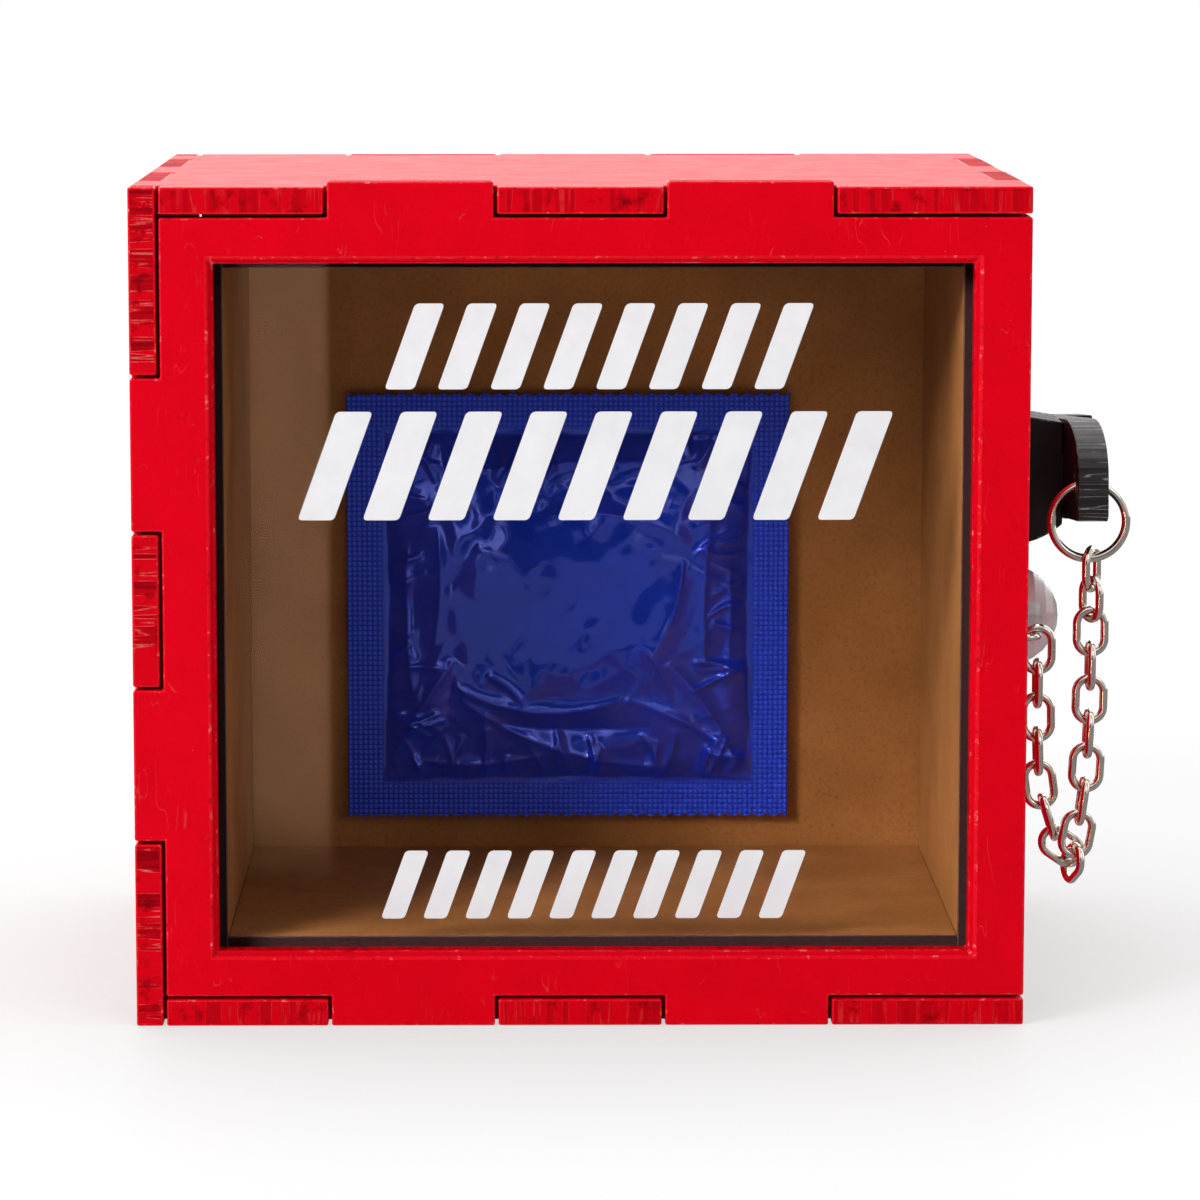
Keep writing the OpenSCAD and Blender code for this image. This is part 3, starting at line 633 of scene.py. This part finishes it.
# The sachet's front is a grid over its width and height, which stands forward by the pouch's
# height and is toothed above and below. Its back is flat.
def makeSachet(settings):
    columns, rows = settings["columns"], settings["rows"]
    low, high = [np.array(c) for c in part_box("foil_sachet")]
    middle = (low + high) / 2
    halfSize = (high - low)[[0, 2]] / 2
    pouchHalf = halfSize - settings["seal"]
    rise = high[1] - low[1] - settings["sealThickness"]
    u, v = np.meshgrid(np.linspace(-1, 1, columns + 1), np.linspace(-1, 1, rows + 1))
    tooth = np.abs(((u + 1) / 2 * settings["teeth"]) % 1 - 0.5) * 2  # 1 at a tip, 0 in a notch
    x = u * halfSize[0]
    notch = settings["toothDepth"] * (1 - tooth) * np.abs(v) ** settings["toothPower"]
    z = v * halfSize[1] - np.sign(v) * notch
    pinchX = 1 + settings["drawIn"] / pouchHalf[0] * (1 - v ** 2)
    pinchZ = 1 + settings["drawIn"] / pouchHalf[1] * (1 - u ** 2)
    height = sachetHeight(x * pinchX / mm, z * pinchZ / mm, pouchHalf / mm, settings, rise / mm)
    height *= rise / height.max()
    ripple = settings["sealRipple"] * smoothNoise(x, z, 7 * mm, settings["seed"] + 4, 2)
    edge = np.minimum(1 - np.abs(u), 1 - np.abs(v)) > 1e-9
    wavy = np.where(height > 0, 0, np.minimum(ripple, 0) + settings["sealLift"])
    front = high[1] - settings["sealThickness"] - height + wavy * edge
    points = np.stack([middle[0] + x, front, middle[2] + z], -1).reshape(-1, 3)
    foil = blueFoil(pouchHalf, settings["dotPitch"], middle, foilFinish)
    sachet = meshPiece("foilSachet", *closeGrid(points, columns, rows, high[1]), foil)
    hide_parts("foil_sachet")
    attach(sachet, "box")


makeSachet(sachetSettings)
print("sachet is filled")


# Printed bars on the pane
printSettings = {
    "thickness": 0.06 * mm,
    "corner": 0.45 * mm, "cornerPoints": 5,
    "lean": 0.36,  # sideways run of a bar over its height
    "rows": (  # left, right, bottom and top of each row, and its number of bars
        (-21.8 * mm, 26.1 * mm, 71.8 * mm, 81.4 * mm, 8),
        (-31.6 * mm, 35.0 * mm, 57.1 * mm, 69.3 * mm, 9),
        (-22.5 * mm, 25.6 * mm, 11.7 * mm, 19.5 * mm, 10)),
    "fill": 0.56,  # share of the pitch that a bar takes
}


# Outline of a slanted bar: a rectangle with quarter circles at its corners, sheared sideways in
# step with its height.
def roundedBar(left, bottom, width, height, settings):
    radius, lean = settings["corner"], settings["lean"]
    turn = np.linspace(0, np.pi / 2, settings["cornerPoints"])
    # middle of each corner's circle, and the quarter of it that is kept
    corners = ((width - radius, height - radius, 0), (radius, height - radius, 1),
               (radius, radius, 2), (width - radius, radius, 3))
    points = np.concatenate([np.stack([
        x + radius * np.cos(turn + quarter * np.pi / 2),
        z + radius * np.sin(turn + quarter * np.pi / 2)], -1) for x, z, quarter in corners])
    return np.stack([left + points[:, 0] + lean * points[:, 1], bottom + points[:, 1]], -1)


# Each bar is its outline in front of the pane and again on it, joined by a wall of quads.
def makePrint(settings):
    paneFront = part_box("glass_pane")[0][1]
    points, faces = [], []
    for left, right, bottom, top, count in settings["rows"]:
        height = top - bottom
        run = settings["lean"] * height
        pitch = (right - left - run) / (count - 1 + settings["fill"])
        for i in range(count):
            outline = roundedBar(left + i * pitch, bottom, pitch * settings["fill"], height, settings)
            number = len(outline)
            base = sum(len(outlines) for outlines in points)
            for y in (paneFront - settings["thickness"], paneFront):
                points.append(np.stack([outline[:, 0], np.full(number, y), outline[:, 1]], -1))
            near = base + np.arange(number)
            far = near + number
            faces += [near.tolist(), far[::-1].tolist()]
            faces += np.stack([near, far, np.roll(far, -1), np.roll(near, -1)], -1).tolist()
    bars = meshPiece("printedBars", np.concatenate(points), faces, whiteInk(screenPrint), smooth=False)
    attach(bars, "box")


makePrint(printSettings)
print("pane is printed")


# Floor, world and lamps
studio = {
    "floor": "#F7F7F7", "floorReach": 3.0, "floorLevel": -0.02 * mm,
    "floorRoughness": 0.5, "floorSpecular": 0.1,
    "fadeStart": 0.14, "fadeEnd": 0.45,  # from there to there it turns as white as the world
    "shadowLift": 0.75,  # share of white that the shadow keeps
    "paintedShadowReach": 70 * mm,  # how far beside a wall the white is dimmed, a painted shadow
    "paintedShadowWhite": 0.8, "openWhite": 1.03,  # white in the painted shadow against the wall, and away from it
    "fill": 0.24, "fillInside": 0.25,  # world light on the object, and through the pane
    "glossFloor": 0.28, "glossCamera": 0.03,  # what gloss sees of the table, and at the camera
    "glossRound": 0.8, "glossBehind": 2.2,  # and around the camera, and behind the object
    "glossLeft": 1.5, "glossRight": 0.8,  # how much brighter or dimmer it is at each side
    # from camera to around it, from there to behind, and from left to right, along the ray's way
    "cameraTurns": (-0.97, -0.88), "behindTurns": (-0.1, 0.3), "sideTurns": (-0.4, 0.6),
    # a glowing strip on the table, no lamp, that stands in for a reflection in the pane: a painted reflection
    "strip": (-0.0605, -0.0548, -0.0415, -0.0395),  # slopes at which it starts, is full and ends
    "stripFrom": (-6.8 * mm, 494.9 * mm), "stripStart": -110 * mm,
    "paintedReflectionColour": "#FFC69D", "paintedReflectionLight": 12.0,
    "stripPasses": 2.5,  # a ray that has passed through more clear faces than this doesn't see it
    "lamps": (  # place, size and power
        ((-1.0, -0.95, 0.8), 0.6, 16.0),
        ((0.85, -0.85, 0.75), 0.6, 1.2),
        ((0.0, 0.25, 1.3), 1.0, 7.0)),
    "target": (0.0, 0.0, 0.045),
}


# 1 for a ray that has only passed through clear pieces since the camera, and 1 for a ray that has
# met gloss.
def rayShares(tree):
    rays = addNode(tree, "LightPath")
    turns = addNode(tree, "Math", {
        0: rays.outputs["Glossy Depth"], 1: rays.outputs["Diffuse Depth"]}, operation="MAXIMUM")
    straight = addNode(tree, "Math", {0: turns.outputs[0], 1: 0.5}, operation="LESS_THAN")
    gloss = addNode(tree, "Math", {0: rays.outputs["Glossy Depth"], 1: 0.5}, operation="GREATER_THAN")
    return straight.outputs[0], gloss.outputs[0]


# Painted reflection: light of a glowing strip on the table, which is no lamp, and narrows towards the
# point stripFrom: it lies where the slope, the way aside over the way ahead, is within its limits, and
# grows along the table. A ray that has passed through more than stripPasses clear faces doesn't see it,
# so what lies behind the pane doesn't mirror it.
def paintedReflectionLight(tree, parts, settings):
    aside = addNode(tree, "Math", {
        0: parts.outputs["X"], 1: settings["stripFrom"][0]}, operation="SUBTRACT")
    ahead = addNode(tree, "Math", {
        0: settings["stripFrom"][1], 1: parts.outputs["Y"]}, operation="SUBTRACT")
    slope = addNode(tree, "Math", {0: aside.outputs[0], 1: ahead.outputs[0]}, operation="DIVIDE")
    start, full, fullEnd, end = settings["strip"]
    rising = addNode(tree, "MapRange", {"Value": slope.outputs[0], "From Min": start, "From Max": full})
    falling = addNode(tree, "MapRange", {"Value": slope.outputs[0], "From Min": end, "From Max": fullEnd})
    along = addNode(tree, "MapRange", {
        "Value": parts.outputs["Y"], "From Min": settings["stripStart"],
        "From Max": 1.5 * settings["stripStart"], "To Max": settings["paintedReflectionLight"]})
    across = addNode(tree, "Math", {0: rising.outputs[0], 1: falling.outputs[0]}, operation="MULTIPLY")
    rays = addNode(tree, "LightPath")
    onPane = addNode(tree, "Math", {
        0: rays.outputs["Transmission Depth"], 1: settings["stripPasses"]}, operation="LESS_THAN")
    lit = addNode(tree, "Math", {0: along.outputs[0], 1: onPane.outputs[0]}, operation="MULTIPLY")
    strip = addNode(tree, "Math", {0: across.outputs[0], 1: lit.outputs[0]}, operation="MULTIPLY")
    warm = addNode(tree, "VectorMath", {
        0: srgbHex(settings["paintedReflectionColour"])[:3], "Scale": strip.outputs[0]}, operation="SCALE")
    return warm.outputs[0]


# White table: near the object it takes its shadow, and beside the walls a painted shadow dims its white;
# far off it fades to the white of the world by its distance from the middle, for the rays that see the
# background. Gloss sees it dim, with a painted reflection strip.
def makeFloor(settings):
    material, tree, output = newMaterial("whiteTable")
    surface = addNode(tree, "BsdfPrincipled", {
        "Base Color": srgbHex(settings["floor"]), "Roughness": settings["floorRoughness"],
        "Specular IOR Level": settings["floorSpecular"]})
    straight, gloss = rayShares(tree)
    # ambient occlusion dims the white beside the walls: a painted shadow
    paintedShadow = addNode(tree, "AmbientOcclusion", {"Distance": settings["paintedShadowReach"]}, samples=8)
    white = addNode(tree, "MapRange", {
        "Value": paintedShadow.outputs["AO"], "From Min": 0.5, "To Min": settings["paintedShadowWhite"],
        "To Max": settings["openWhite"]})
    where = addNode(tree, "TexCoord")
    parts = addNode(tree, "SeparateXYZ", {0: where.outputs["Object"]})
    mirrored = addNode(tree, "VectorMath", {
        0: paintedReflectionLight(tree, parts, settings), 1: [settings["glossFloor"]] * 3}, operation="ADD")
    seen = addNode(tree, "Mix", {
        "Factor": gloss, 6: white.outputs[0], 7: mirrored.outputs[0]}, data_type="RGBA")
    glow = addNode(tree, "Emission", {"Color": seen.outputs[2], "Strength": 1.0})
    far = addNode(tree, "VectorMath", {0: where.outputs["Object"]}, operation="LENGTH")
    fade = addNode(tree, "MapRange", {
        "Value": far.outputs["Value"], "From Min": settings["fadeStart"], "From Max": settings["fadeEnd"],
        "To Min": settings["shadowLift"]}, interpolation_type="SMOOTHSTEP")
    seenShare = addNode(tree, "Math", {0: fade.outputs[0], 1: straight}, operation="MULTIPLY")
    share = addNode(tree, "Math", {0: seenShare.outputs[0], 1: gloss}, operation="MAXIMUM")
    both = addNode(tree, "MixShader", {0: share.outputs[0], 1: surface.outputs[0], 2: glow.outputs[0]})
    tree.links.new(both.outputs[0], output.inputs["Surface"])
    corners = [(-1, -1), (1, -1), (1, 1), (-1, 1)]
    reach, level = settings["floorReach"], settings["floorLevel"]
    points = [(x * reach, y * reach, level) for x, y in corners]
    floor = meshPiece("floor", points, [(0, 1, 2, 3)], material, smooth=False)


# White for rays that come straight from the camera, dim for the light on the object, and for
# gloss a room that is dark at the camera, brighter behind the object and on its left.
def makeWorld(settings):
    world = bpy.data.worlds.new("studio")
    bpy.context.scene.world = world
    world.use_nodes = True
    tree = world.node_tree
    tree.nodes.clear()
    output = tree.nodes.new("ShaderNodeOutputWorld")
    way = addNode(tree, "SeparateXYZ", {0: addNode(tree, "TexCoord").outputs["Generated"]})
    ahead = addNode(tree, "MapRange", {
        "Value": way.outputs["Y"],
        "From Min": settings["cameraTurns"][0], "From Max": settings["cameraTurns"][1],
        "To Min": settings["glossCamera"], "To Max": settings["glossRound"]})
    behind = addNode(tree, "MapRange", {
        "Value": way.outputs["Y"],
        "From Min": settings["behindTurns"][0], "From Max": settings["behindTurns"][1],
        "To Max": settings["glossBehind"] - settings["glossRound"]})
    even = addNode(tree, "Math", {0: ahead.outputs[0], 1: behind.outputs[0]}, operation="ADD")
    side = addNode(tree, "MapRange", {
        "Value": way.outputs["X"], "From Min": settings["sideTurns"][0], "From Max": settings["sideTurns"][1],
        "To Min": settings["glossLeft"], "To Max": settings["glossRight"]})
    around = addNode(tree, "Math", {0: even.outputs[0], 1: side.outputs[0]}, operation="MULTIPLY")
    straight, gloss = rayShares(tree)
    rays = addNode(tree, "LightPath")
    fill = addNode(tree, "Mix", {
        "Factor": rays.outputs["Is Transmission Ray"], 2: settings["fill"], 3: settings["fillInside"]})
    glossy = addNode(tree, "Mix", {"Factor": gloss, 2: fill.outputs[0], 3: around.outputs[0]})
    strength = addNode(tree, "Mix", {"Factor": straight, 2: glossy.outputs[0], 3: 1.0})
    background = addNode(tree, "Background", {"Color": (1, 1, 1, 1), "Strength": strength.outputs[0]})
    tree.links.new(background.outputs[0], output.inputs["Surface"])


# Round softboxes that look at the target: tilt is the angle off straight down, and turn the
# angle round it.
def makeLamps(settings):
    for i, (place, size, power) in enumerate(settings["lamps"]):
        data = bpy.data.lights.new(f"softbox{i + 1}", "AREA")
        data.shape = "DISK"
        data.size = size
        data.energy = power
        lamp = bpy.data.objects.new(data.name, data)
        lamp.location = place
        away = np.array(place) - np.array(settings["target"])
        tilt = math.atan2(math.hypot(away[0], away[1]), away[2])
        turn = math.atan2(away[0], -away[1])
        lamp.rotation_euler = (tilt, 0, turn)
        bpy.context.scene.collection.objects.link(lamp)


makeFloor(studio)
makeWorld(studio)
makeLamps(studio)
bpy.context.scene.view_settings.view_transform = "Standard"
print("studio is lit")
